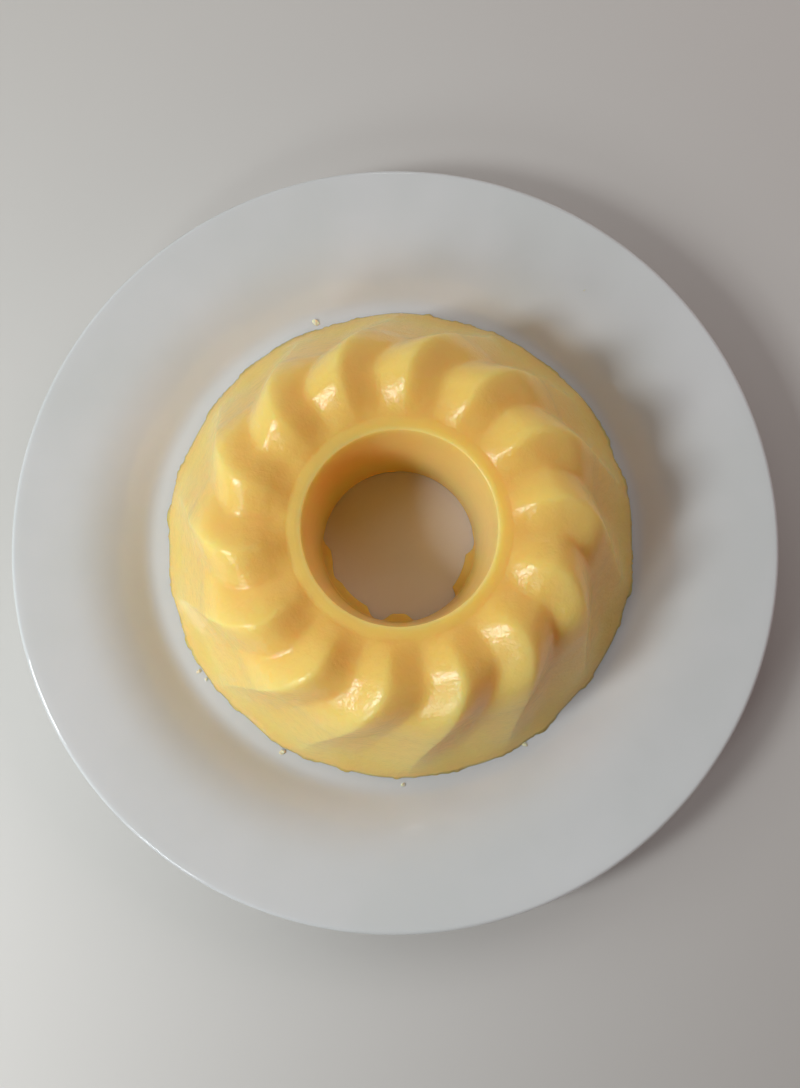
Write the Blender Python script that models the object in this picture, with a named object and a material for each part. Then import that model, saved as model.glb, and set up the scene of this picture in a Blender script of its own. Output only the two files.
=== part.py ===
"""A ring-shaped jelly turned out of a swirled flute mould, standing on its round dinner plate.

Metres, +Z up. The origin is the centre of the plate's foot, on the surface it stands on.
Angles of the jelly run clockwise from +Y, seen from above.
"""

import math

import bpy

# Plate: a dinner plate with a flat well, a verge that is steepest low down, and a gently rising rim
plateRadius = 0.1335
rimTopZ = 0.0225
wellZ = 0.0048
wellRadius = 0.087
steepRadius = 0.094
rimRadius = 0.117
steepSlope = 0.72
wallThickness = 0.0034
footInner = 0.079
footOuter = 0.0835
footHeight = 0.0014
footFillet = 0.003
rimEdgeRadius = 0.0014
plateSteps = 88

# Jelly: where it stands, how many flutes its mould had, and how they swirl
restGap = 0.0003
jellyCentre = (0.0019, 0.0005)
fluteCount = 14
firstCrest = math.radians(3.2)
swirl = math.radians(21.0)
swirlStartRadius = 0.049
baseRadius = 0.085

# The hole: a plain tapered bore under a narrow flat lip, a little off centre at the plate
holeBottomRadius = 0.0278
holeTopRadius = 0.0312
holeLean = (-0.0005, -0.0022)
lipOuterRadius = 0.0332
lipZ = 0.0438
lipRound = 0.0006
lipStep = 0.0003

# Radius and height of the section along a crest and along a groove, from the lip to the plate
crestSection = (
    (0.0358, 0.0436),
    (0.0398, 0.0460),
    (0.0442, 0.0485),
    (0.0502, 0.0499),
    (0.0568, 0.0485),
    (0.0633, 0.0436),
    (0.0683, 0.0352),
    (0.0722, 0.0260),
    (0.0780, 0.0138),
    (0.0850, 0.0000),
)
grooveSection = (
    (0.0358, 0.0434),
    (0.0400, 0.0438),
    (0.0450, 0.0448),
    (0.0502, 0.0450),
    (0.0558, 0.0429),
    (0.0605, 0.0394),
    (0.0646, 0.0332),
    (0.0684, 0.0250),
    (0.0754, 0.0128),
    (0.0847, 0.0000),
)

# The crests have flat flanks on top and become sharp arrises between hollow facets on the side
flankFlatness = 0.9
arrisStart = 0.40
arrisFull = 0.85
facetHollow = 1.4

# Mesh resolution: places across one flute (0 is the crest, 1 the groove), and rings
acrossFlute = (-0.7, -0.4, -0.15, 0.0, 0.15, 0.4, 0.7, 1.0)
outerRings = 18
lipRings = 3
boreRings = 3


def clearScene():
    for thing in list(bpy.data.objects):
        bpy.data.objects.remove(thing, do_unlink=True)


def plainMaterial(name, colour, roughness):
    material = bpy.data.materials.new(name)
    material.use_nodes = True
    shader = material.node_tree.nodes["Principled BSDF"]
    shader.inputs["Base Color"].default_value = (*colour, 1.0)
    shader.inputs["Roughness"].default_value = roughness
    shader.inputs["Metallic"].default_value = 0.0
    return material


def smoothStep(value):
    value = min(max(value, 0.0), 1.0)
    return value * value * (3.0 - 2.0 * value)


def alongSection(points, t):
    """The point at t, 0 to 1, on a Catmull-Rom curve through the section's points."""
    spans = len(points) - 1
    index = min(int(t * spans), spans - 1)
    f = t * spans - index
    b, c = points[index], points[index + 1]
    a = points[index - 1] if index > 0 else tuple(2 * p - q for p, q in zip(b, c))
    d = points[index + 2] if index + 2 <= spans else tuple(2 * q - p for p, q in zip(b, c))
    return tuple(
        0.5 * (2 * q + (r - p) * f + (2 * p - 5 * q + 4 * r - s) * f**2 + (3 * (q - r) + s - p) * f**3)
        for p, q, r, s in zip(a, b, c, d)
    )


def crestShare(offset, t):
    """How far the surface stands from groove (0) to crest (1), at an offset across the flute."""
    flattened = math.asin(flankFlatness * math.cos(math.pi * offset)) / math.asin(flankFlatness)
    rounded = 0.5 * (1.0 + flattened)
    arris = (1.0 - abs(offset)) ** facetHollow
    blend = smoothStep((t - arrisStart) / (arrisFull - arrisStart))
    return rounded + (arris - rounded) * blend


def fluteAngles(twist):
    pitch = 2.0 * math.pi / fluteCount
    for flute in range(fluteCount):
        for offset in acrossFlute:
            yield offset, firstCrest + pitch * (flute + offset / 2.0) + twist


def ringPoint(radius, height, angle, lean=0.0):
    x = jellyCentre[0] + radius * math.sin(angle) + holeLean[0] * lean
    y = jellyCentre[1] + radius * math.cos(angle) + holeLean[1] * lean
    return (x, y, wellZ + restGap + height)


def boreRing(share):
    """One ring of the hole's wall, from the plate (0) to under the lip (1)."""
    radius = holeBottomRadius + (holeTopRadius - holeBottomRadius) * share
    height = (lipZ - lipRound) * share
    return [ringPoint(radius, height, angle, 1.0 - share) for _, angle in fluteAngles(0.0)]


def lipRing(share):
    """One ring of the quarter round that turns the bore over into the lip."""
    turn = 0.5 * math.pi * share
    radius = holeTopRadius + lipRound * (1.0 - math.cos(turn))
    height = lipZ - lipRound * (1.0 - math.sin(turn))
    return [ringPoint(radius, height, angle) for _, angle in fluteAngles(0.0)]


def levelRing(radius, height):
    return [ringPoint(radius, height, angle) for _, angle in fluteAngles(0.0)]


def flutedRing(t):
    crest = alongSection(crestSection, t)
    groove = alongSection(grooveSection, t)
    twist = swirl * smoothStep((crest[0] - swirlStartRadius) / (baseRadius - swirlStartRadius))
    ring = []
    for offset, angle in fluteAngles(twist):
        share = crestShare(offset, t)
        radius = groove[0] + (crest[0] - groove[0]) * share
        height = groove[1] + (crest[1] - groove[1]) * share
        ring.append(ringPoint(radius, height, angle))
    return ring


def joinRings(rings):
    """A closed tube of quads: each ring to the next, and the last back to the first."""
    around = len(rings[0])
    faces = []
    for index in range(len(rings)):
        here = index * around
        there = (index + 1) % len(rings) * around
        for step in range(around):
            beside = (step + 1) % around
            faces.append((here + step, here + beside, there + beside, there + step))
    return [point for ring in rings for point in ring], faces


def makeJelly():
    rings = [boreRing(index / boreRings) for index in range(boreRings)]
    rings += [lipRing(index / lipRings) for index in range(lipRings + 1)]
    rings.append(levelRing(lipOuterRadius, lipZ))
    rings.append(levelRing(lipOuterRadius + lipStep, lipZ - lipStep))
    rings += [flutedRing(index / outerRings) for index in range(outerRings + 1)]
    points, faces = joinRings(rings)
    mesh = bpy.data.meshes.new("jelly")
    mesh.from_pydata(points, [], faces)
    mesh.update()
    mesh.shade_smooth()
    mesh.set_sharp_from_angle(angle=math.radians(50.0))
    jelly = bpy.data.objects.new("jelly", mesh)
    bpy.context.collection.objects.link(jelly)
    mesh.materials.append(plainMaterial("mangoMilkJelly", (0.76, 0.50, 0.13), 0.2))
    return jelly


def easedRise(share):
    """The integral of a smooth step, for a slope that eases in over a stretch."""
    return share**3 - 0.5 * share**4


def plateOutline():
    """The plate's half section: over its top from the middle to the edge, and back underneath."""
    turnUp = steepRadius - wellRadius
    leanOut = rimRadius - steepRadius
    edgeX = plateRadius - rimEdgeRadius
    edgeZ = rimTopZ - rimEdgeRadius
    # The rim's slope is what the verge leaves of the whole rise
    rise = rimTopZ - wellZ - 0.5 * (turnUp + leanOut) * steepSlope
    rimSlope = rise / (0.5 * leanOut + edgeX - rimRadius)
    steepZ = wellZ + 0.5 * turnUp * steepSlope
    rimZ = steepZ + 0.5 * leanOut * (steepSlope + rimSlope)
    outline = [(0.0, wellZ), (0.5 * wellRadius, wellZ), (wellRadius, wellZ)]
    for share in (0.4, 0.7, 1.0):
        outline.append((wellRadius + turnUp * share, wellZ + turnUp * steepSlope * easedRise(share)))
    for share in (0.25, 0.5, 0.75, 1.0):
        eases = leanOut * (rimSlope - steepSlope) * easedRise(share)
        outline.append((steepRadius + leanOut * share, steepZ + leanOut * steepSlope * share + eases))
    for share in (0.0, 0.35, 0.7, 1.0):
        turn = 0.5 * math.pi + math.atan(rimSlope) - math.pi * share
        outline.append((edgeX + rimEdgeRadius * math.cos(turn), edgeZ + rimEdgeRadius * math.sin(turn)))
    outline += [
        (rimRadius + 0.6 * wallThickness, rimZ - wallThickness),
        (steepRadius + 1.5 * wallThickness, steepZ - 0.3 * wallThickness),
        (steepRadius - 0.6 * wallThickness, footHeight + 0.2 * footFillet),
        (footOuter + footFillet, footHeight),
        (footOuter, 0.0),
        (footInner, 0.0),
        (footInner - footFillet, footHeight),
        (0.0, footHeight),
    ]
    return outline


def makePlate():
    outline = plateOutline()
    mesh = bpy.data.meshes.new("plate")
    mesh.from_pydata([(x, 0.0, z) for x, z in outline], [(i, i + 1) for i in range(len(outline) - 1)], [])
    plate = bpy.data.objects.new("plate", mesh)
    bpy.context.collection.objects.link(plate)
    screw = plate.modifiers.new("turned", "SCREW")
    screw.axis = "Z"
    screw.angle = 2.0 * math.pi
    screw.steps = screw.render_steps = plateSteps
    screw.use_merge_vertices = True
    screw.merge_threshold = 1e-5
    screw.use_smooth_shade = True
    mesh.materials.append(plainMaterial("whitePorcelain", (0.77, 0.78, 0.77), 0.12))
    return plate


clearScene()
makePlate()
makeJelly()
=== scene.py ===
import math

import bpy
import numpy as np
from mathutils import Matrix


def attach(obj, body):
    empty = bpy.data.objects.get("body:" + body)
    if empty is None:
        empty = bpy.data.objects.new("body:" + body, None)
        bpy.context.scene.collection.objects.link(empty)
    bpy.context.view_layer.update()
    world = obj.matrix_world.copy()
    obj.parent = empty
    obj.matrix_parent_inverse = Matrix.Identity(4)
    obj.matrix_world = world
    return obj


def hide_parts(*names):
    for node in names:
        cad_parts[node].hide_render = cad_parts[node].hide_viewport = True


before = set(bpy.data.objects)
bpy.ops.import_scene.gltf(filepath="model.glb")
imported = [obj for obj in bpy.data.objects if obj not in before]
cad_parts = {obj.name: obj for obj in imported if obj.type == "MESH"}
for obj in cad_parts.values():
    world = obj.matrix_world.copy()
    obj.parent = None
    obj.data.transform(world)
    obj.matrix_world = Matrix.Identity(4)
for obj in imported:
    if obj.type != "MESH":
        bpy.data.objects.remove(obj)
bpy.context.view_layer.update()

scene = bpy.context.scene
millimetre = 0.001


def linearColour(hexCode):
    channels = [int(hexCode[i:i + 2], 16) / 255.0 for i in (1, 3, 5)]
    return [c / 12.92 if c <= 0.04045 else ((c + 0.055) / 1.055) ** 2.4 for c in channels] + [1.0]


def addNode(tree, kind, links=None, **settings):
    node = tree.nodes.new(kind)
    for name, value in settings.items():
        setattr(node, name, value)
    for key, value in (links or {}).items():
        if isinstance(value, bpy.types.Node):
            value = next(socket for socket in value.outputs if socket.enabled)
        if isinstance(value, bpy.types.NodeSocket):
            tree.links.new(value, node.inputs[key])
        else:
            node.inputs[key].default_value = value
    return node


def startMaterial(name):
    material = bpy.data.materials.new(name)
    material.use_nodes = True
    material.node_tree.nodes.clear()
    return material, material.node_tree


# the camera looks almost straight down
view = {
    "place": (0.00347, -0.0275, 0.3026),
    "tiltDegrees": 5.1,       # leans back from straight down
    "rollDegrees": 0.3,
    "lens": 26.83,
}


def makeCamera():
    camera = bpy.data.objects.new("viewCamera", bpy.data.cameras.new("viewCamera"))
    scene.collection.objects.link(camera)
    camera.data.lens = view["lens"]
    camera.data.clip_start = 0.01
    camera.location = view["place"]
    camera.rotation_euler = (math.radians(view["tiltDegrees"]), math.radians(view["rollDegrees"]), 0.0)
    scene.camera = camera


# each light is aimed at the plate's middle; azimuths are degrees clockwise from +Y
# the windows and the small back light also show as glints; the panels only fill in softly
light = {
    "window": {"azimuth": 250.0, "elevation": 42.5, "distance": 0.62, "size": (0.10, 0.16), "power": 1.84,
               "colour": "#f8fdff", "mirrored": True},
    "sideWindow": {"azimuth": 219.0, "elevation": 32.0, "distance": 0.62, "size": (0.12, 0.14), "power": 0.75,
                   "colour": "#f7fcff", "mirrored": True},
    "skyPanel": {"azimuth": 330.0, "elevation": 50.0, "distance": 0.65, "size": (0.60, 0.50), "power": 0.85,
                 "colour": "#fefffb", "mirrored": False},
    "leftPanel": {"azimuth": 285.0, "elevation": 30.0, "distance": 0.70, "size": (0.40, 0.30), "power": 0.66,
                  "colour": "#eefaff", "mirrored": False},
    "warmWall": {"azimuth": 100.0, "elevation": 14.0, "distance": 0.90, "size": (1.00, 0.30), "power": 0.62,
                 "colour": "#ffae92", "mirrored": False},
    "northWall": {"azimuth": 0.0, "elevation": 13.0, "distance": 0.90, "size": (1.00, 0.30), "power": 0.72,
                  "colour": "#ffdfce", "mirrored": False},
    "southWall": {"azimuth": 180.0, "elevation": 13.0, "distance": 0.90, "size": (1.00, 0.30), "power": 0.48,
                  "colour": "#ffd7c6", "mirrored": False},
    "backWall": {"azimuth": 50.0, "elevation": 35.0, "distance": 0.90, "size": (0.60, 0.40), "power": 1.80,
                 "colour": "#fff6fb", "mirrored": False},
    "backGlint": {"azimuth": 0.0, "elevation": 47.0, "distance": 0.62, "size": (0.06, 0.014), "power": 0.06,
                  "colour": "#ffffff", "mirrored": True},
}
room = {
    "strength": 0.0,
    "colour": "#f2efe8",
}


def makeLights():
    for name, lamp in light.items():
        azimuth, elevation = math.radians(lamp["azimuth"]), math.radians(lamp["elevation"])
        level = math.cos(elevation)
        away = (math.sin(azimuth) * level, math.cos(azimuth) * level, math.sin(elevation))
        area = bpy.data.lights.new(name, "AREA")
        area.shape = "RECTANGLE"
        area.size, area.size_y = lamp["size"]
        area.energy = lamp["power"]
        area.color = linearColour(lamp["colour"])[:3]
        panel = bpy.data.objects.new(name, area)
        scene.collection.objects.link(panel)
        panel.location = [a * lamp["distance"] for a in away]
        panel.rotation_euler = (math.radians(90.0) - elevation, 0.0, math.pi - azimuth)
        panel.visible_glossy = lamp["mirrored"]
    world = bpy.data.worlds.new("room")
    scene.world = world
    world.use_nodes = True
    background = world.node_tree.nodes["Background"]
    background.inputs["Color"].default_value = linearColour(room["colour"])
    background.inputs["Strength"].default_value = room["strength"]


floor = {
    "size": 3.0,
    "colour": "#cfccc7",
    "roughness": 0.6,
}


def makeFloor():
    half = 0.5 * floor["size"]
    corners = [(-half, -half, 0), (half, -half, 0), (half, half, 0), (-half, half, 0)]
    mesh = bpy.data.meshes.new("floor")
    mesh.from_pydata(corners, [], [(0, 1, 2, 3)])
    ground = bpy.data.objects.new("floor", mesh)
    scene.collection.objects.link(ground)
    material, tree = startMaterial("plainFloor")
    shader = addNode(tree, "ShaderNodeBsdfPrincipled", {
        "Base Color": linearColour(floor["colour"]), "Roughness": floor["roughness"]})
    addNode(tree, "ShaderNodeOutputMaterial", {"Surface": shader})
    mesh.materials.append(material)


# sizes of the jelly in millimetres, heights from its foot
jelly = {
    "flutes": 14,
    "firstCrestDegrees": 3.2,     # clockwise from +Y
    "swirlDegrees": 21.0,
    "swirlStartRadius": 49.0,
    "baseRadius": 85.0,
    "centre": (1.9, 0.5),
    "restZ": 5.1,
    "holeBottomRadius": 27.8,
    "holeTopRadius": 31.2,
    "holeLean": (-0.5, -2.2),     # how far the hole's foot is off its centre
    "lipOuterRadius": 33.2,
    "lipZ": 43.8,
    "lipRound": 0.5,
    "lipStep": 0.06,              # the lip stands this much above the flat band outside it
    "lipFade": 0.35,              # over this width
    "lipBand": 1.6,               # how far the flat band reaches out from the lip
    "arrisStart": 0.40,           # along the side: from here the crests sharpen
    "arrisFull": 0.85,
    "facetHollow": 1.4,
    "flankFlatness": 0.9,         # 0 gives round waves, towards 1 flat flanks with narrow crests
    "columnsPerFlute": 44,
    "sideRows": 100,
    "lumpHeight": 0.35,
    "lumpSize": 18.0,
    "footSpread": 1.8,            # how far the foot sags outwards where it is softest
    "outerFlash": 1.1,            # thin edges that crept out of the mould
    "raggedSize": 9.0,
    "innerFlash": 3.0,
    "lobeSize": 21.0,
    "flashHeight": (1.8, 0.4),    # flash fades in between these heights
    "sagHeight": 9.0,             # the foot sags below this height
    "footTuck": 0.3,              # the underside starts this far inside the foot
    "fluteWanderDegrees": 4.0,
    "outerPaleness": 0.5,         # how much paler outside than in the hole, and again on the crests: painted light
    "crestPaleness": 0.5,
    "paleRadii": (31.2, 62.0),    # the paleness comes in between these
    "seed": 7,
}
# radius and height along a crest and along a groove, from the lip down to the plate
crestSection = [(35.8, 43.6), (39.8, 46.0), (44.2, 48.5), (50.2, 49.9), (56.8, 48.5), (63.3, 43.6),
                (68.3, 35.2), (72.2, 26.0), (78.0, 13.8), (85.0, 0.0)]
grooveSection = [(35.8, 43.4), (40.0, 43.8), (45.0, 44.8), (50.2, 45.0), (55.8, 42.9), (60.5, 39.4),
                 (64.6, 33.2), (68.4, 25.0), (75.4, 12.8), (84.7, 0.0)]


def alongSection(points, t):
    # Catmull-Rom curve through the points, with its ends carried on straight
    ends = np.array([2 * np.array(points[0]) - points[1], *points, 2 * np.array(points[-1]) - points[-2]])
    span = min(int(t * (len(points) - 1)), len(points) - 2)
    f = t * (len(points) - 1) - span
    a, b, c, d = ends[span:span + 4]
    return 0.5 * (2 * b + (c - a) * f + (2 * a - 5 * b + 4 * c - d) * f ** 2 + (3 * (b - c) + d - a) * f ** 3)


def sectionRows():
    # the closed section, as (radius, height, share of the side) for the crest and for the groove
    bore, top, turn = jelly["holeBottomRadius"], jelly["holeTopRadius"], jelly["lipRound"]
    lipZ, step, fade = jelly["lipZ"], jelly["lipStep"], jelly["lipFade"]
    # the rows crowd towards the foot, where the flash needs them
    plain = [(bore + (top - bore) * s, (lipZ - turn) * s) for s in np.linspace(0, 1, 30) ** 1.5]
    for angle in np.linspace(0, math.pi / 2, 6)[1:]:
        plain.append((top + turn * (1 - math.cos(angle)), lipZ - turn * (1 - math.sin(angle))))
    plain += [(r, lipZ) for r in np.linspace(plain[-1][0], jelly["lipOuterRadius"], 4)[1:]]
    edge = plain[-1][0]
    plain += [(edge + 0.5 * fade, lipZ - 0.5 * step), (edge + fade, lipZ - step),
              (edge + jelly["lipBand"], lipZ - step)]
    crest = [(r, z, 0.0) for r, z in plain]
    groove = list(crest)
    for t in np.linspace(0, 1, jelly["sideRows"]):
        crest.append((*alongSection(crestSection, t), t))
        groove.append((*alongSection(grooveSection, t), t))
    underStart = jelly["baseRadius"] - jelly["footTuck"]
    under = [(underStart + (bore - underStart) * s, 0.0, 1.0) for s in np.linspace(0, 1, 12)[1:]]
    return crest + under, groove + under


def makeSectionGuide():
    # a point cloud the node tree reads: first every crest row, then every groove row
    crest, groove = sectionRows()
    mesh = bpy.data.meshes.new("sectionGuide")
    mesh.from_pydata([(r * millimetre, t, z * millimetre) for r, z, t in crest + groove], [], [])
    guide = bpy.data.objects.new("sectionGuide", mesh)
    scene.collection.objects.link(guide)
    return guide, len(crest)


def makeRingTree():
    tree = bpy.data.node_groups.new("swirledRing", "GeometryNodeTree")
    tree.interface.new_socket("Geometry", in_out="OUTPUT", socket_type="NodeSocketGeometry")
    for name, kind in (
        ("Section guide", "Object"), ("Rows", "Int"), ("Flutes", "Int"), ("Columns per flute", "Int"),
        ("First crest", "Float"), ("Swirl", "Float"), ("Swirl start radius", "Float"),
        ("Base radius", "Float"), ("Arris start", "Float"), ("Arris full", "Float"),
        ("Facet hollow", "Float"), ("Flank flatness", "Float"),
        ("Centre", "Vector"), ("Hole lean", "Vector"), ("Hole radius", "Float"), ("Lip height", "Float"),
        ("Lump height", "Float"), ("Lump size", "Float"), ("Flute wander", "Float"), ("Seed", "Float"),
        ("Foot spread", "Float"), ("Outer flash", "Float"), ("Inner flash", "Float"),
        ("Flash top", "Float"), ("Flash full", "Float"), ("Sag top", "Float"),
        ("Ragged size", "Float"), ("Lobe size", "Float"),
        ("Outer paleness", "Float"), ("Crest paleness", "Float"),
        ("Pale from", "Float"), ("Pale to", "Float"),
        ("Material", "Material"),
    ):
        tree.interface.new_socket(name, in_out="INPUT", socket_type="NodeSocket" + kind)
    given = tree.nodes.new("NodeGroupInput").outputs
    maths, vectors = "ShaderNodeMath", "ShaderNodeVectorMath"
    mapRange, noise = "ShaderNodeMapRange", "ShaderNodeTexNoise"

    # a flat sheet of columns by rows, to be rolled round into the ring
    columns = addNode(tree, maths, {0: given["Flutes"], 1: given["Columns per flute"]}, operation="MULTIPLY")
    seam = addNode(tree, maths, {0: columns, 1: 1.0}, operation="ADD")
    sheet = addNode(tree, "GeometryNodeMeshGrid", {
        "Size X": 1.0, "Size Y": 1.0, "Vertices X": seam, "Vertices Y": given["Rows"]})
    place = addNode(tree, "ShaderNodeSeparateXYZ", {0: addNode(tree, "GeometryNodeInputPosition")}).outputs
    around = addNode(tree, maths, {0: place["X"], 1: 0.5}, operation="ADD")
    along = addNode(tree, maths, {0: place["Y"], 1: 0.5}, operation="ADD")
    lastRow = addNode(tree, maths, {0: given["Rows"], 1: 1.0}, operation="SUBTRACT")
    rowPlace = addNode(tree, maths, {0: along, 1: lastRow}, operation="MULTIPLY")
    row = addNode(tree, maths, {0: rowPlace}, operation="ROUND")
    grooveRow = addNode(tree, maths, {0: row, 1: given["Rows"]}, operation="ADD")

    # this row's point of the section on a crest, and on a groove
    guide = addNode(tree, "GeometryNodeObjectInfo", {"Object": given["Section guide"]}).outputs["Geometry"]
    guidePoint = addNode(tree, "GeometryNodeInputPosition")
    crest = addNode(tree, "GeometryNodeSampleIndex", {
        "Geometry": guide, "Value": guidePoint, "Index": row}, data_type="FLOAT_VECTOR")
    groove = addNode(tree, "GeometryNodeSampleIndex", {
        "Geometry": guide, "Value": guidePoint, "Index": grooveRow}, data_type="FLOAT_VECTOR")
    crestPart = addNode(tree, "ShaderNodeSeparateXYZ", {0: crest}).outputs

    # across a flute the offset is 0 on its crest and 1 in the groove; round crests turn to arrises
    halfPitches = addNode(tree, maths, {0: around, 1: given["Flutes"]}, operation="MULTIPLY")
    doubled = addNode(tree, maths, {0: halfPitches, 1: 2.0}, operation="MULTIPLY")
    wrapped = addNode(tree, maths, {0: doubled, 1: 1.0, 2: -1.0}, operation="WRAP")
    offset = addNode(tree, maths, {0: wrapped}, operation="ABSOLUTE")
    halfTurn = addNode(tree, maths, {0: offset, 1: math.pi}, operation="MULTIPLY")
    cosine = addNode(tree, maths, {0: halfTurn}, operation="COSINE")
    flattened = addNode(tree, maths, {0: cosine, 1: given["Flank flatness"]}, operation="MULTIPLY")
    slant = addNode(tree, maths, {0: flattened}, operation="ARCSINE")
    slantTop = addNode(tree, maths, {0: given["Flank flatness"]}, operation="ARCSINE")
    wave = addNode(tree, maths, {0: slant, 1: slantTop}, operation="DIVIDE")
    rounded = addNode(tree, maths, {0: wave, 1: 0.5, 2: 0.5}, operation="MULTIPLY_ADD")
    fromGroove = addNode(tree, maths, {0: 1.0, 1: offset}, operation="SUBTRACT", use_clamp=True)
    arris = addNode(tree, maths, {0: fromGroove, 1: given["Facet hollow"]}, operation="POWER")
    sharpness = addNode(tree, mapRange, {
        "Value": crestPart["Y"], "From Min": given["Arris start"], "From Max": given["Arris full"]},
        interpolation_type="SMOOTHSTEP")
    sharper = addNode(tree, maths, {0: arris, 1: rounded}, operation="SUBTRACT")
    share = addNode(tree, maths, {0: sharper, 1: sharpness, 2: rounded}, operation="MULTIPLY_ADD")
    section = addNode(tree, "ShaderNodeMix", {"Factor": share, 4: groove, 5: crest}, data_type="VECTOR")
    part = addNode(tree, "ShaderNodeSeparateXYZ", {0: section.outputs[1]}).outputs
    radius, height = part["X"], part["Z"]

    # where the column stands: its share of the turn, the swirl, and a little wander from flute to flute
    fullTurn = addNode(tree, maths, {0: around, 1: 2 * math.pi}, operation="MULTIPLY")
    twist = addNode(tree, mapRange, {
        "Value": crestPart["X"], "From Min": given["Swirl start radius"], "From Max": given["Base radius"],
        "To Max": given["Swirl"]}, interpolation_type="SMOOTHSTEP")
    straight = addNode(tree, maths, {0: fullTurn, 1: given["First crest"]}, operation="ADD")
    turned = addNode(tree, maths, {0: straight, 1: twist}, operation="ADD")
    roundSine = addNode(tree, maths, {0: fullTurn}, operation="SINE")
    roundCosine = addNode(tree, maths, {0: fullTurn}, operation="COSINE")
    circle = addNode(tree, "ShaderNodeCombineXYZ", {"X": roundSine, "Y": roundCosine, "Z": given["Seed"]})
    wandering = addNode(tree, noise, {"Vector": circle, "Scale": 2.2, "Detail": 1.0})
    centred = addNode(tree, maths, {0: wandering.outputs[0], 1: 0.5}, operation="SUBTRACT")
    wander = addNode(tree, maths, {0: centred, 1: given["Flute wander"]}, operation="MULTIPLY")
    wanderShare = addNode(tree, mapRange, {
        "Value": crestPart["Y"], "From Max": 0.2}, interpolation_type="SMOOTHSTEP")
    angle = addNode(tree, maths, {0: wander, 1: wanderShare, 2: turned}, operation="MULTIPLY_ADD")
    sine = addNode(tree, maths, {0: angle}, operation="SINE")
    cosineOut = addNode(tree, maths, {0: angle}, operation="COSINE")

    # thin ragged flash that crept under the mould's edges, at the foot outside and in the hole
    footRing = addNode(tree, "ShaderNodeCombineXYZ", {
        "X": addNode(tree, maths, {0: radius, 1: sine}, operation="MULTIPLY"),
        "Y": addNode(tree, maths, {0: radius, 1: cosineOut}, operation="MULTIPLY"), "Z": given["Seed"]})
    # each noise turns into flash, or into sag, between the two levels of its map range
    ragged = addNode(tree, noise, {
        "Vector": footRing, "Scale": given["Ragged size"], "Detail": 4.0, "Roughness": 0.6})
    raggedShare = addNode(tree, mapRange, {"Value": ragged.outputs[0], "From Min": 0.48, "From Max": 0.66})
    lobes = addNode(tree, noise, {
        "Vector": footRing, "Scale": given["Lobe size"], "Detail": 1.0, "Roughness": 0.4})
    lobeShare = addNode(tree, mapRange, {"Value": lobes.outputs[0], "From Min": 0.50, "From Max": 0.60},
                        interpolation_type="SMOOTHSTEP")
    sagging = addNode(tree, noise, {"Vector": footRing, "Scale": 26.0, "Detail": 1.0})
    sagShare = addNode(tree, mapRange, {"Value": sagging.outputs[0], "From Min": 0.35, "From Max": 0.65})
    nearFoot = addNode(tree, mapRange, {
        "Value": height, "From Min": given["Flash top"], "From Max": given["Flash full"]},
        interpolation_type="SMOOTHSTEP")
    # metres from the axis: the side is beyond 80 mm at its foot, the hole's wall within 29.5 mm
    outside = addNode(tree, mapRange, {"Value": radius, "From Min": 0.070, "From Max": 0.080})
    inside = addNode(tree, mapRange, {"Value": radius, "From Min": 0.034, "From Max": 0.0295})
    outerReach = addNode(tree, maths, {0: outside, 1: given["Outer flash"]}, operation="MULTIPLY")
    innerReach = addNode(tree, maths, {0: inside, 1: given["Inner flash"]}, operation="MULTIPLY")
    outerPart = addNode(tree, maths, {0: outerReach, 1: raggedShare}, operation="MULTIPLY")
    innerPart = addNode(tree, maths, {0: innerReach, 1: lobeShare}, operation="MULTIPLY")
    flash = addNode(tree, maths, {0: outerPart, 1: innerPart}, operation="SUBTRACT")
    flashOut = addNode(tree, maths, {0: flash, 1: nearFoot, 2: radius}, operation="MULTIPLY_ADD")
    lowDown = addNode(tree, mapRange, {
        "Value": height, "From Min": given["Sag top"], "From Max": 0.0}, interpolation_type="SMOOTHSTEP")
    sagReach = addNode(tree, maths, {0: outside, 1: given["Foot spread"]}, operation="MULTIPLY")
    sag = addNode(tree, maths, {0: sagReach, 1: sagShare}, operation="MULTIPLY")
    radiusOut = addNode(tree, maths, {0: sag, 1: lowDown, 2: flashOut}, operation="MULTIPLY_ADD")

    # how pale the jelly is painted: low in the hole and the grooves, high on the crests and down the side,
    # for painted shade in the grooves and painted light on the crests and the side.
    # These are kept while the sheet is flat, because a field reads the place it is used at
    outward = addNode(tree, mapRange, {
        "Value": radius, "From Min": given["Pale from"], "From Max": given["Pale to"]},
        interpolation_type="SMOOTHSTEP")
    outerPale = addNode(tree, maths, {0: outward, 1: given["Outer paleness"]}, operation="MULTIPLY")
    crestPale = addNode(tree, maths, {0: share, 1: outward}, operation="MULTIPLY")
    paleness = addNode(tree, maths, {
        0: crestPale, 1: given["Crest paleness"], 2: outerPale}, operation="MULTIPLY_ADD")
    tinted = addNode(tree, "GeometryNodeStoreNamedAttribute", {
        "Geometry": sheet.outputs["Mesh"], "Name": "paleness", "Value": paleness},
        data_type="FLOAT", domain="POINT")
    # footEdge also tells the material where to paint warm light into the thin foot
    edged = addNode(tree, "GeometryNodeStoreNamedAttribute", {
        "Geometry": tinted, "Name": "footEdge", "Value": lowDown}, data_type="FLOAT", domain="POINT")

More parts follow.
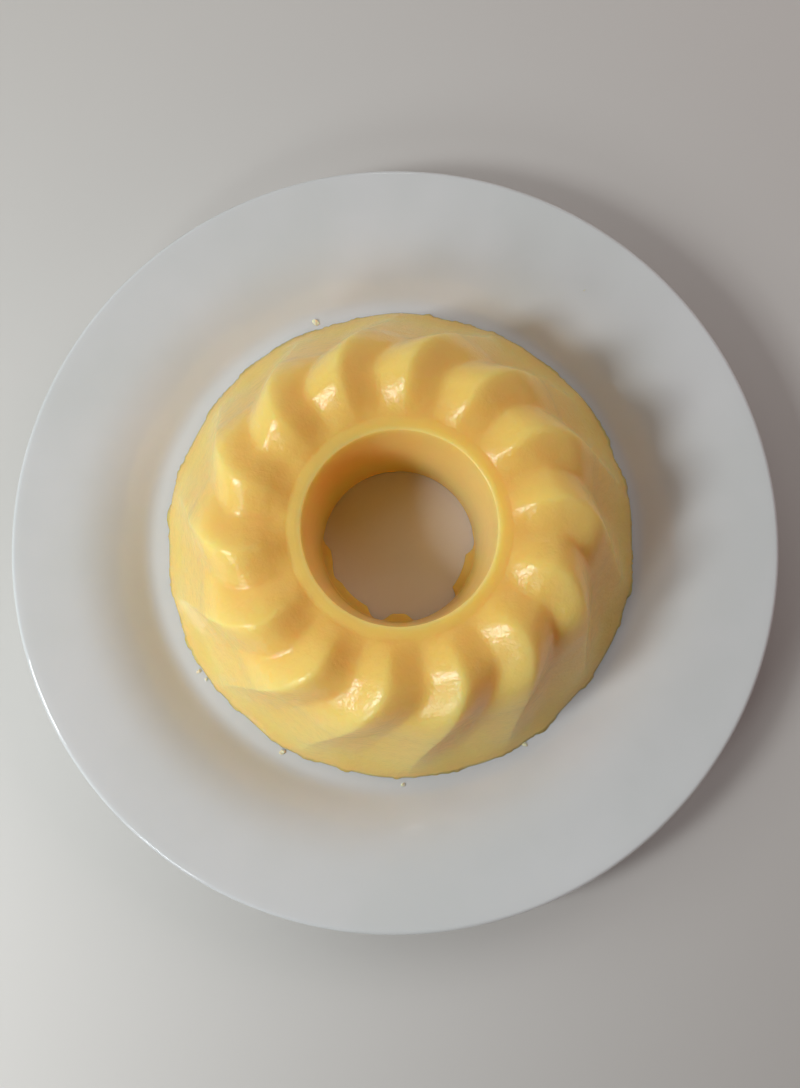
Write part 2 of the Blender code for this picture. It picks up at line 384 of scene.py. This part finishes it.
    # roll it up, with the hole leaning off centre towards its foot
    spot = addNode(tree, "ShaderNodeCombineXYZ", {
        "X": addNode(tree, maths, {0: radiusOut, 1: sine}, operation="MULTIPLY"),
        "Y": addNode(tree, maths, {0: radiusOut, 1: cosineOut}, operation="MULTIPLY"), "Z": height})
    lowness = addNode(tree, mapRange, {"Value": height, "From Min": given["Lip height"], "From Max": 0.0})
    boreShare = addNode(tree, mapRange, {
        "Value": radius, "From Min": given["Base radius"], "From Max": given["Hole radius"]},
        interpolation_type="SMOOTHSTEP")
    leanShare = addNode(tree, maths, {0: lowness, 1: boreShare}, operation="MULTIPLY")
    lean = addNode(tree, vectors, {0: given["Hole lean"], "Scale": leanShare}, operation="SCALE")
    shifted = addNode(tree, vectors, {0: lean, 1: given["Centre"]}, operation="ADD")
    rolled = addNode(tree, vectors, {0: spot, 1: shifted}, operation="ADD")
    ring = addNode(tree, "GeometryNodeSetPosition", {"Geometry": edged, "Position": rolled})
    closed = addNode(tree, "GeometryNodeMergeByDistance", {"Geometry": ring, "Distance": 0.00001})

    # soft lumps from handling, fading out between 12 and 6 mm above the table to leave the foot alone
    lumps = addNode(tree, noise, {"Scale": given["Lump size"], "Detail": 2.0, "Roughness": 0.45,
                                  "Vector": addNode(tree, "GeometryNodeInputPosition")})
    lump = addNode(tree, maths, {0: lumps.outputs[0], 1: 0.5}, operation="SUBTRACT")
    lumpOut = addNode(tree, maths, {0: lump, 1: given["Lump height"]}, operation="MULTIPLY")
    rolledPlace = addNode(tree, "ShaderNodeSeparateXYZ", {0: addNode(tree, "GeometryNodeInputPosition")})
    aboveFoot = addNode(tree, mapRange, {
        "Value": rolledPlace.outputs["Z"], "From Min": 0.006, "From Max": 0.012},
        interpolation_type="SMOOTHSTEP")
    lumpShare = addNode(tree, maths, {0: lumpOut, 1: aboveFoot}, operation="MULTIPLY")
    normal = addNode(tree, "GeometryNodeInputNormal")
    push = addNode(tree, vectors, {0: normal, "Scale": lumpShare}, operation="SCALE")
    lumpy = addNode(tree, "GeometryNodeSetPosition", {"Geometry": closed, "Offset": push})

    smooth = addNode(tree, "GeometryNodeSetShadeSmooth", {"Geometry": lumpy})
    real = addNode(tree, "GeometryNodeRealizeInstances", {"Geometry": smooth})
    coated = addNode(tree, "GeometryNodeSetMaterial", {"Geometry": real, "Material": given["Material"]})
    addNode(tree, "NodeGroupOutput", {"Geometry": coated})
    return tree


def bakeTree(name, tree, values):
    # runs a node tree once, with its named inputs, and keeps the plain mesh
    blank = bpy.data.objects.new("blank", bpy.data.meshes.new("blank"))
    scene.collection.objects.link(blank)
    modifier = blank.modifiers.new("shape", "NODES")
    modifier.node_group = tree
    for item in tree.interface.items_tree:
        if item.in_out == "INPUT" and item.name in values:
            modifier[item.identifier] = values[item.name]
    bpy.context.view_layer.update()
    mesh = bpy.data.meshes.new_from_object(blank.evaluated_get(bpy.context.evaluated_depsgraph_get()))
    mesh.name = name
    blank.modifiers.remove(modifier)
    bpy.data.objects.remove(blank)
    piece = bpy.data.objects.new(name, mesh)
    scene.collection.objects.link(piece)
    return piece


jellyFinish = {
    "boreLightColour": "#ffd27a",      # in the hole: painted light, paler than the grooves
    "grooveShadeColour": "#ffcb6c",      # painted shade in the grooves
    "crestLightColour": "#ffd57f",      # painted light on the crests and down the side
    "footWarmthColour": "#ffc670",      # where the foot thins out to nothing: painted warm light, for the red light lost through the thin edge
    "boreEnd": 0.004,             # the hole's painted light ends at this paleness, and its deeper glow at the next
    "boreGlowEnd": 0.05,
    "boreBumps": 0.15,            # the hole's share of the bumps, as its core was smooth
    "roughness": 0.24,
    "pebble": 0.9,                # millimetres
    "pebbleDepth": 0.10,
    "ripple": 3.4,
    "rippleDepth": 0.22,
    "glow": 0.014,                # how far light travels inside, in the hole's wall, and near the thin foot
    "boreGlow": 0.030,
    "footGlow": 0.002,
}


def makeJellyMaterial():
    # milk and mango jelly, set in a smooth mould and still wet: soft light from inside, pebbly glints on top
    material, tree = startMaterial("setMangoMilkJelly")
    finish = jellyFinish
    spot = addNode(tree, "ShaderNodeTexCoord").outputs["Object"]
    paleness = addNode(tree, "ShaderNodeAttribute", attribute_name="paleness").outputs["Fac"]
    footEdge = addNode(tree, "ShaderNodeAttribute", attribute_name="footEdge").outputs["Fac"]
    # painted shade in the grooves and painted light on the crests and down the side, by the paleness mask
    outside = addNode(tree, "ShaderNodeMix", {
        "Factor": paleness, 6: linearColour(finish["grooveShadeColour"]),
        7: linearColour(finish["crestLightColour"])}, data_type="RGBA")
    # painted light in the hole, in place of light coming through the jelly
    boreShare = addNode(tree, "ShaderNodeMapRange", {"Value": paleness, "From Max": finish["boreEnd"]})
    body = addNode(tree, "ShaderNodeMix", {
        "Factor": boreShare, 6: linearColour(finish["boreLightColour"]), 7: outside.outputs[2]}, data_type="RGBA")
    # painted warm light at the thin foot
    edge = addNode(tree, "ShaderNodeMix", {
        "Factor": footEdge, 6: body.outputs[2], 7: linearColour(finish["footWarmthColour"])}, data_type="RGBA")
    outOfBore = addNode(tree, "ShaderNodeMapRange", {"Value": paleness, "From Max": finish["boreGlowEnd"]})
    upperGlow = addNode(tree, "ShaderNodeMapRange", {
        "Value": outOfBore, "To Min": finish["boreGlow"], "To Max": finish["glow"]})
    glow = addNode(tree, "ShaderNodeMapRange", {
        "Value": footEdge, "To Min": upperGlow, "To Max": finish["footGlow"]})
    pebbleShare = addNode(tree, "ShaderNodeMapRange", {
        "Value": outOfBore, "To Min": finish["boreBumps"], "To Max": 1.0})
    pebbles = addNode(tree, "ShaderNodeTexNoise", {
        "Vector": spot, "Scale": 1000.0 / finish["pebble"], "Detail": 1.0})
    ripples = addNode(tree, "ShaderNodeTexNoise", {
        "Vector": spot, "Scale": 1000.0 / finish["ripple"], "Detail": 1.0})
    rippled = addNode(tree, "ShaderNodeBump", {
        "Height": ripples.outputs[0], "Strength": pebbleShare,
        "Distance": finish["rippleDepth"] * millimetre})
    pebbled = addNode(tree, "ShaderNodeBump", {
        "Height": pebbles.outputs[0], "Strength": pebbleShare, "Distance": finish["pebbleDepth"] * millimetre,
        "Normal": rippled})
    shader = addNode(tree, "ShaderNodeBsdfPrincipled", {
        "Base Color": edge.outputs[2], "Roughness": finish["roughness"], "IOR": 1.36, "Normal": pebbled,
        "Subsurface Weight": 1.0, "Subsurface Radius": (1.0, 0.6, 0.35), "Subsurface Scale": glow})
    addNode(tree, "ShaderNodeOutputMaterial", {"Surface": shader})
    return material


def makeJelly():
    guide, rows = makeSectionGuide()
    centreX, centreY = jelly["centre"]
    leanX, leanY = jelly["holeLean"]
    ring = bakeTree("jellyRing", makeRingTree(), {
        "Section guide": guide, "Rows": rows, "Flutes": jelly["flutes"],
        "Columns per flute": jelly["columnsPerFlute"],
        "First crest": math.radians(jelly["firstCrestDegrees"]),
        "Swirl": math.radians(jelly["swirlDegrees"]),
        "Swirl start radius": jelly["swirlStartRadius"] * millimetre,
        "Base radius": jelly["baseRadius"] * millimetre,
        "Arris start": jelly["arrisStart"], "Arris full": jelly["arrisFull"],
        "Facet hollow": jelly["facetHollow"], "Flank flatness": jelly["flankFlatness"],
        "Centre": (centreX * millimetre, centreY * millimetre, jelly["restZ"] * millimetre),
        "Hole lean": (leanX * millimetre, leanY * millimetre, 0.0),
        "Hole radius": jelly["holeBottomRadius"] * millimetre, "Lip height": jelly["lipZ"] * millimetre,
        "Lump height": jelly["lumpHeight"] * millimetre, "Lump size": 1000.0 / jelly["lumpSize"],
        "Flute wander": math.radians(jelly["fluteWanderDegrees"]), "Seed": float(jelly["seed"]),
        "Foot spread": jelly["footSpread"] * millimetre, "Outer flash": jelly["outerFlash"] * millimetre,
        "Inner flash": jelly["innerFlash"] * millimetre,
        "Flash top": jelly["flashHeight"][0] * millimetre, "Flash full": jelly["flashHeight"][1] * millimetre,
        "Sag top": jelly["sagHeight"] * millimetre,
        "Ragged size": 1000.0 / jelly["raggedSize"], "Lobe size": 1000.0 / jelly["lobeSize"],
        "Outer paleness": jelly["outerPaleness"], "Crest paleness": jelly["crestPaleness"],
        "Pale from": jelly["paleRadii"][0] * millimetre, "Pale to": jelly["paleRadii"][1] * millimetre,
        "Material": makeJellyMaterial(),
    })
    bpy.data.objects.remove(guide)
    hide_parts("jelly")
    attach(ring, "root")
    print("jelly:", len(ring.data.polygons), "faces")


# sizes of the plate in millimetres
plate = {
    "radius": 133.5,
    "rimTopZ": 22.5,
    "wellZ": 4.8,
    "wellRadius": 87.0,
    "steepRadius": 94.0,          # where the verge is steepest
    "rimRadius": 117.0,           # from here the rim runs straight to the edge
    "steepSlope": 0.72,
    "wall": 3.4,
    "edgeRadius": 1.4,
    "footInner": 79.0,
    "footOuter": 83.5,
    "footHeight": 1.4,
    "rimTuck": 2.0,               # the underside, relative to the radii above it
    "vergeTuck": 5.0,
    "shoulder": (2.0, 0.6),
    "footFillets": (3.0, 2.0),
    "steps": 256,
    "topPoints": 53,              # how many points of the section lie on the top face
}


def eased(share):
    # the integral of a smooth step, for a slope that eases in
    return share ** 3 - 0.5 * share ** 4


def plateProfile():
    # half section over the top from the middle to the edge, then back underneath
    p = plate
    turnUp, leanOut = p["steepRadius"] - p["wellRadius"], p["rimRadius"] - p["steepRadius"]
    edge = p["edgeRadius"]
    rimWidth = p["radius"] - edge - p["rimRadius"]
    # the rim's slope is what is left of the rise to share out
    rise = p["rimTopZ"] - p["wellZ"] - 0.5 * (turnUp + leanOut) * p["steepSlope"]
    rimSlope = rise / (0.5 * leanOut + rimWidth)
    steepZ = p["wellZ"] + 0.5 * turnUp * p["steepSlope"]
    rimZ = steepZ + 0.5 * leanOut * (p["steepSlope"] + rimSlope)
    points = [(r, p["wellZ"]) for r in np.linspace(0, p["wellRadius"], 12)]
    for share in np.linspace(0, 1, 13)[1:]:
        z = p["wellZ"] + turnUp * p["steepSlope"] * eased(share)
        points.append((p["wellRadius"] + turnUp * share, z))
    for share in np.linspace(0, 1, 21)[1:]:
        eases = leanOut * (rimSlope - p["steepSlope"]) * eased(share)
        z = steepZ + leanOut * p["steepSlope"] * share + eases
        points.append((p["steepRadius"] + leanOut * share, z))
    lean = math.atan(rimSlope)
    edgeX, edgeZ = p["radius"] - edge, p["rimTopZ"] - edge
    startX, startZ = edgeX - edge * math.sin(lean), edgeZ + edge * math.cos(lean)
    for share in np.linspace(0, 1, 9)[1:]:
        points.append((p["rimRadius"] + (startX - p["rimRadius"]) * share, rimZ + (startZ - rimZ) * share))
    for turn in np.linspace(0, math.pi, 12)[1:]:
        aim = math.pi / 2 + lean - turn
        points.append((edgeX + edge * math.cos(aim), edgeZ + edge * math.sin(aim)))
    wall, foot = p["wall"], p["footHeight"]
    shoulderIn, shoulderUp = p["shoulder"]
    filletOut, filletIn = p["footFillets"]
    points += [(p["rimRadius"] + p["rimTuck"], rimZ - wall),
               (p["steepRadius"] + p["vergeTuck"], steepZ - 0.3 * wall),
               (p["steepRadius"] - shoulderIn, foot + shoulderUp), (p["footOuter"] + filletOut, foot),
               (p["footOuter"], 0.0), (p["footInner"], 0.0), (p["footInner"] - filletIn, foot), (0.0, foot)]
    return points


glaze = {
    "colour": "#d8d9d9",
    "pooledColour": "#d3d5d4",    # where the glaze ran a little thicker
    "pooling": 38.0,              # millimetres
    "roughness": (0.085, 0.12),
    "wave": 26.0,
    "waveDepth": 0.03,
    "peel": 2.2,                  # fine orange peel left by the firing
    "peelDepth": 0.0012,
}


def makeGlazeMaterial():
    # glossy white glaze fired on porcelain: sharp soft-edged reflections over a faintly wavy surface
    material, tree = startMaterial("glazedPorcelain")
    spot = addNode(tree, "ShaderNodeTexCoord").outputs["Object"]
    pooling = addNode(tree, "ShaderNodeTexNoise", {
        "Vector": spot, "Scale": 1000.0 / glaze["pooling"], "Detail": 3.0})
    pooled = addNode(tree, "ShaderNodeMapRange", {
        "Value": pooling.outputs[0], "From Min": 0.35, "From Max": 0.65})
    tint = addNode(tree, "ShaderNodeMix", {
        "Factor": pooled, 6: linearColour(glaze["colour"]),
        7: linearColour(glaze["pooledColour"])}, data_type="RGBA")
    gloss = addNode(tree, "ShaderNodeMapRange", {
        "Value": pooled, "To Min": glaze["roughness"][0], "To Max": glaze["roughness"][1]})
    waves = addNode(tree, "ShaderNodeTexNoise", {
        "Vector": spot, "Scale": 1000.0 / glaze["wave"], "Detail": 0.0})
    wavy = addNode(tree, "ShaderNodeBump", {
        "Height": waves.outputs[0], "Strength": 1.0, "Distance": glaze["waveDepth"] * millimetre})
    peel = addNode(tree, "ShaderNodeTexNoise", {
        "Vector": spot, "Scale": 1000.0 / glaze["peel"], "Detail": 1.0})
    peeled = addNode(tree, "ShaderNodeBump", {
        "Height": peel.outputs[0], "Strength": 1.0, "Distance": glaze["peelDepth"] * millimetre,
        "Normal": wavy})
    shader = addNode(tree, "ShaderNodeBsdfPrincipled", {
        "Base Color": tint.outputs[2], "Roughness": gloss, "IOR": 1.5, "Normal": peeled})
    addNode(tree, "ShaderNodeOutputMaterial", {"Surface": shader})
    return material


def makePlate():
    points = plateProfile()
    mesh = bpy.data.meshes.new("plateProfile")
    mesh.from_pydata([(x * millimetre, 0.0, z * millimetre) for x, z in points],
                     [(i, i + 1) for i in range(len(points) - 1)], [])
    profile = bpy.data.objects.new("plateProfile", mesh)
    scene.collection.objects.link(profile)
    screw = profile.modifiers.new("turned", "SCREW")
    screw.steps = screw.render_steps = plate["steps"]
    screw.use_merge_vertices = True
    screw.merge_threshold = 0.00001
    bpy.context.view_layer.update()
    turned = bpy.data.meshes.new_from_object(profile.evaluated_get(bpy.context.evaluated_depsgraph_get()))
    turned.name = "dinnerPlate"
    turned.shade_smooth()
    bpy.data.objects.remove(profile)
    dish = bpy.data.objects.new("dinnerPlate", turned)
    scene.collection.objects.link(dish)
    turned.materials.append(makeGlazeMaterial())
    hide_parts("plate")
    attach(dish, "root")
    print("plate:", len(turned.polygons), "faces")


# flakes of jelly left on the plate round the foot and on the rim, in millimetres
flakes = {
    "places": [(-40.3, -76.2), (3.0, -87.8), (46.6, -73.2), (68.7, 90.3), (-29.8, 83.0), (-71.2, -47.4),
               (-68.6, -50.4)],
    "sizes": [1.3, 0.9, 1.3, 0.5, 1.6, 1.0, 0.8],
    "flatness": 0.25,
    "raggedness": 0.8,
    "lift": 0.8,                  # the middle lies this share of the half thickness above the glaze
    "narrowest": 0.45,            # width as a share of length
    "widest": 0.8,
    "tilt": 0.3,                  # radians
    "tearsPerMetre": 900.0,
    "patchesPerMetre": 1400.0,
    "colour": "#f0ead8",
    "wetColour": "#f5e4b4",
    "seed": 5,
}


def makeFlakeTree():
    tree = bpy.data.node_groups.new("scatteredFlakes", "GeometryNodeTree")
    tree.interface.new_socket("Geometry", in_out="OUTPUT", socket_type="NodeSocketGeometry")
    for name, kind in (("Places", "Object"), ("Flatness", "Float"), ("Raggedness", "Float"),
                       ("Narrowest", "Float"), ("Widest", "Float"), ("Tilt", "Vector"), ("Tears", "Float"),
                       ("Seed", "Int"), ("Material", "Material")):
        tree.interface.new_socket(name, in_out="INPUT", socket_type="NodeSocket" + kind)
    given = tree.nodes.new("NodeGroupInput").outputs
    places = addNode(tree, "GeometryNodeObjectInfo", {"Object": given["Places"]}).outputs["Geometry"]
    blob = addNode(tree, "GeometryNodeMeshIcoSphere", {"Radius": 1.0, "Subdivisions": 4})
    turn = addNode(tree, "FunctionNodeRandomValue", {
        "Min": (0.0, 0.0, 0.0), "Max": given["Tilt"], "Seed": given["Seed"]},
        data_type="FLOAT_VECTOR")
    size = addNode(tree, "GeometryNodeInputNamedAttribute", {"Name": "flakeSize"}, data_type="FLOAT")
    width = addNode(tree, "FunctionNodeRandomValue", {
        2: given["Narrowest"], 3: given["Widest"], "Seed": given["Seed"]}, data_type="FLOAT")
    across = addNode(tree, "ShaderNodeMath", {0: size, 1: width}, operation="MULTIPLY")
    thick = addNode(tree, "ShaderNodeMath", {0: size, 1: given["Flatness"]}, operation="MULTIPLY")
    scale = addNode(tree, "ShaderNodeCombineXYZ", {"X": size, "Y": across, "Z": thick})
    scattered = addNode(tree, "GeometryNodeInstanceOnPoints", {
        "Points": places, "Instance": blob, "Rotation": turn, "Scale": scale})
    real = addNode(tree, "GeometryNodeRealizeInstances", {"Geometry": scattered})
    # torn outlines: every flake is pushed about by the same coarse noise, read where it lies
    tears = addNode(tree, "ShaderNodeTexNoise", {
        "Scale": given["Tears"], "Detail": 2.0, "Vector": addNode(tree, "GeometryNodeInputPosition")})
    centred = addNode(tree, "ShaderNodeVectorMath", {
        0: tears.outputs[1], 1: (0.5, 0.5, 0.5)}, operation="SUBTRACT")
    pushed = addNode(tree, "ShaderNodeVectorMath", {
        0: centred, "Scale": given["Raggedness"]}, operation="SCALE")
    torn = addNode(tree, "GeometryNodeSetPosition", {"Geometry": real, "Offset": pushed})
    smooth = addNode(tree, "GeometryNodeSetShadeSmooth", {"Geometry": torn})
    coated = addNode(tree, "GeometryNodeSetMaterial", {"Geometry": smooth, "Material": given["Material"]})
    addNode(tree, "NodeGroupOutput", {"Geometry": coated})
    return tree


def makeFlakes():
    # thin flakes torn off while turning the jelly out: drier and paler than the jelly itself
    material, tree = startMaterial("tornJellyFlake")
    spot = addNode(tree, "ShaderNodeTexCoord").outputs["Object"]
    patches = addNode(tree, "ShaderNodeTexNoise", {
        "Vector": spot, "Scale": flakes["patchesPerMetre"], "Detail": 1.0})
    tint = addNode(tree, "ShaderNodeMix", {
        "Factor": patches.outputs[0], 6: linearColour(flakes["colour"]),
        7: linearColour(flakes["wetColour"])}, data_type="RGBA")
    shader = addNode(tree, "ShaderNodeBsdfPrincipled", {
        "Base Color": tint.outputs[2], "Roughness": 0.22, "IOR": 1.36,
        "Subsurface Weight": 0.6, "Subsurface Radius": (1.0, 0.6, 0.35), "Subsurface Scale": 0.001})
    addNode(tree, "ShaderNodeOutputMaterial", {"Surface": shader})

    top = plateProfile()[:plate["topPoints"]]
    spots = []
    for (x, y), size in zip(flakes["places"], flakes["sizes"]):
        ground = np.interp(math.hypot(x, y), [r for r, _ in top], [z for _, z in top])
        z = ground + flakes["lift"] * flakes["flatness"] * size
        spots.append((x * millimetre, y * millimetre, z * millimetre))
    mesh = bpy.data.meshes.new("flakePlaces")
    mesh.from_pydata(spots, [], [])
    sizes = mesh.attributes.new("flakeSize", "FLOAT", "POINT")
    sizes.data.foreach_set("value", [size * millimetre for size in flakes["sizes"]])
    guide = bpy.data.objects.new("flakePlaces", mesh)
    scene.collection.objects.link(guide)
    scattered = bakeTree("jellyFlakes", makeFlakeTree(), {
        "Places": guide, "Flatness": flakes["flatness"], "Raggedness": flakes["raggedness"] * millimetre,
        "Narrowest": flakes["narrowest"], "Widest": flakes["widest"],
        "Tilt": (flakes["tilt"], flakes["tilt"], 2 * math.pi), "Tears": flakes["tearsPerMetre"],
        "Seed": flakes["seed"], "Material": material})
    bpy.data.objects.remove(guide)
    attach(scattered, "root")
    print("flakes:", len(scattered.data.polygons), "faces")


scene.view_settings.view_transform = "Standard"
makeCamera()
makeLights()
makeFloor()
makeJelly()
makePlate()
makeFlakes()
